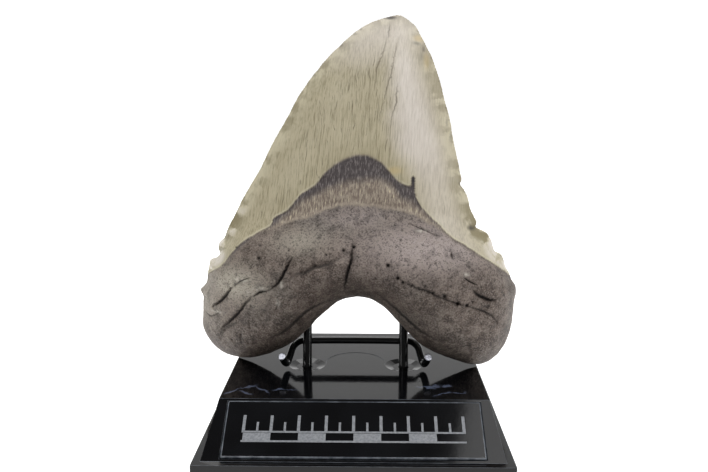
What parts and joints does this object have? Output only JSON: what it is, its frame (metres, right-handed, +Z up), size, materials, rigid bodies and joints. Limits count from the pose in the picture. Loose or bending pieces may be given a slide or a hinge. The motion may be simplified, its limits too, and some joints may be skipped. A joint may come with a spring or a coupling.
{
  "type": "megalodon tooth on a display stand",
  "caption": "Large fossil shark tooth leaning on a wire easel over a black moulded base with a sloped front and a bare plaque.",
  "frame": {"origin": "centre of the base's footprint, at its underside", "axes": "+X to the right of someone who faces the plaque, +Y towards the back, +Z up"},
  "size_m": [0.1352, 0.1084, 0.1669],
  "materials": {
    "tooth": "fossil enamel and root, satin",
    "base": "glossy black with faint pale veins",
    "plaque": "glossy black plate",
    "wire": "glossy black coated steel wire"
  },
  "bodies": {
    "root": {"tooth": "tooth", "base": "base", "plaque": "plaque", "easel_wire": "wire", "cradle_wire": "wire"}
  },
  "joints": []
}
